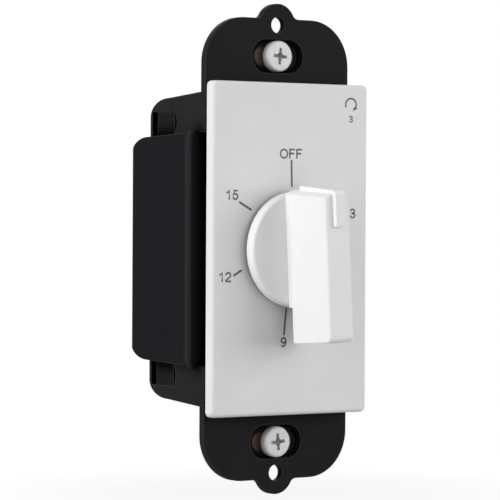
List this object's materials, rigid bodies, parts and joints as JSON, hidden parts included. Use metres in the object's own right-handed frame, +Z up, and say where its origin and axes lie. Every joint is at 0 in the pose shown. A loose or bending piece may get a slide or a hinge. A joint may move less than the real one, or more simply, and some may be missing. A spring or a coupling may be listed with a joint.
{
  "type": "timer light switch",
  "caption": "Wall switch with a spring-wound countdown dial: pointer knob on a flat face plate, black strap and housing, clockwork movement and switch contacts inside.",
  "frame": {"origin": "centre of the strap's rear face, midway between the two cover-plate holes", "axes": "+X right seen from the front, +Y back into the wall, +Z up; the knob faces -Y"},
  "size_m": [0.044, 0.0475, 0.1062],
  "materials": {
    "black_plastic": "satin black moulding with a fine grain",
    "plate_plastic": "white moulding, fine matte grain",
    "knob_plastic": "smooth white moulding",
    "spring_steel": "blued spring steel",
    "arbor_steel": "turned steel",
    "frame_brass": "stamped brass plate",
    "wheel_brass": "cut brass",
    "screw_steel": "zinc plated",
    "cam_plastic": "natural nylon",
    "contact_bronze": "phosphor bronze strip",
    "contact_silver": "silver contact",
    "terminal_screw_brass": "brass binding screw",
    "screw_nickel": "nickel plated",
    "fibre": "dark brown vulcanised fibre"
  },
  "bodies": {
    "case": {"front_housing": "black_plastic", "rear_cover": "black_plastic", "face_plate": "plate_plastic", "movement_front_plate": "frame_brass", "movement_rear_plate": "frame_brass", "movement_pillars": "frame_brass", "movement_screws": "screw_steel", "mainspring": "spring_steel", "spring_post": "arbor_steel", "moving_contact": "contact_bronze", "moving_contact_point": "contact_silver", "fixed_contact_point": "contact_silver", "line_terminal": "contact_bronze", "load_terminal": "contact_bronze", "terminal_screws": "terminal_screw_brass"},
    "winding": {"knob": "knob_plastic", "knob_clip": "spring_steel", "winding_arbor": "arbor_steel", "ratchet_wheel": "arbor_steel", "switch_cam": "cam_plastic"},
    "main_wheel": {"main_wheel": "wheel_brass"},
    "click": {"click": "arbor_steel"},
    "second_arbor": {"second_wheel": "wheel_brass", "second_pinion": "arbor_steel"},
    "third_arbor": {"third_wheel": "wheel_brass", "third_pinion": "arbor_steel"},
    "escape_arbor": {"escape_wheel": "wheel_brass", "escape_pinion": "arbor_steel"},
    "verge": {"verge": "arbor_steel", "balance": "wheel_brass"},
    "top_retainer": {"screw_retainer_top": "fibre"},
    "top_screw": {"mounting_screw_top": "screw_nickel"},
    "bottom_retainer": {"screw_retainer_bottom": "fibre"},
    "bottom_screw": {"mounting_screw_bottom": "screw_nickel"}
  },
  "joints": [
    {"name": "knob_turn", "type": "hinge", "parent": "case", "child": "winding", "pos_m": [0, 0, 0], "axis": [0, 1, 0], "range_deg": [0, 300], "stiffness_Nm_per_rad": 0.01, "springref_deg": -57.3, "deforming": ["mainspring", "moving_contact", "moving_contact_point"]},
    {"name": "main_wheel_turn", "type": "hinge", "parent": "case", "child": "main_wheel", "pos_m": [0, 0, 0], "axis": [0, 1, 0], "range_deg": [0, 300]},
    {"name": "second_wheel_turn", "type": "hinge", "parent": "case", "child": "second_arbor", "pos_m": [0.00326, 0.005, -0.01217], "axis": [0, 1, 0], "range_deg": [-1500, 0]},
    {"name": "third_wheel_turn", "type": "hinge", "parent": "case", "child": "third_arbor", "pos_m": [-0.00574, 0.005, -0.01217], "axis": [0, 1, 0], "range_deg": [0, 7500]},
    {"name": "escape_wheel_turn", "type": "hinge", "parent": "case", "child": "escape_arbor", "pos_m": [-0.01223, 0.005, -0.00842], "axis": [0, 1, 0], "range_deg": [-30000, 0]},
    {"name": "verge_swing", "type": "hinge", "parent": "case", "child": "verge", "pos_m": [-0.01402, 0.005, -0.00176], "axis": [0, 1, 0], "range_deg": [-5, 5]},
    {"name": "click_lift", "type": "hinge", "parent": "main_wheel", "child": "click", "pos_m": [0.00347, 0.005, 0.00653], "axis": [0, -1, 0], "range_deg": [0, 12]},
    {"name": "top_screw_slide", "type": "slide", "parent": "case", "child": "top_retainer", "axis": [1, 0, 0], "range_m": [-0.0032, 0.0032]},
    {"name": "top_screw_turn", "type": "hinge", "parent": "top_retainer", "child": "top_screw", "pos_m": [0, 0, 0.04167], "axis": [0, 1, 0], "continuous": true},
    {"name": "bottom_screw_slide", "type": "slide", "parent": "case", "child": "bottom_retainer", "axis": [1, 0, 0], "range_m": [-0.0032, 0.0032]},
    {"name": "bottom_screw_turn", "type": "hinge", "parent": "bottom_retainer", "child": "bottom_screw", "pos_m": [0, 0, -0.04167], "axis": [0, 1, 0], "continuous": true}
  ],
  "couplings": [
    {"joint": "main_wheel_turn", "follows": "knob_turn", "ratio": 1},
    {"joint": "second_wheel_turn", "follows": "knob_turn", "ratio": -5},
    {"joint": "third_wheel_turn", "follows": "knob_turn", "ratio": 25},
    {"joint": "escape_wheel_turn", "follows": "knob_turn", "ratio": -100}
  ]
}
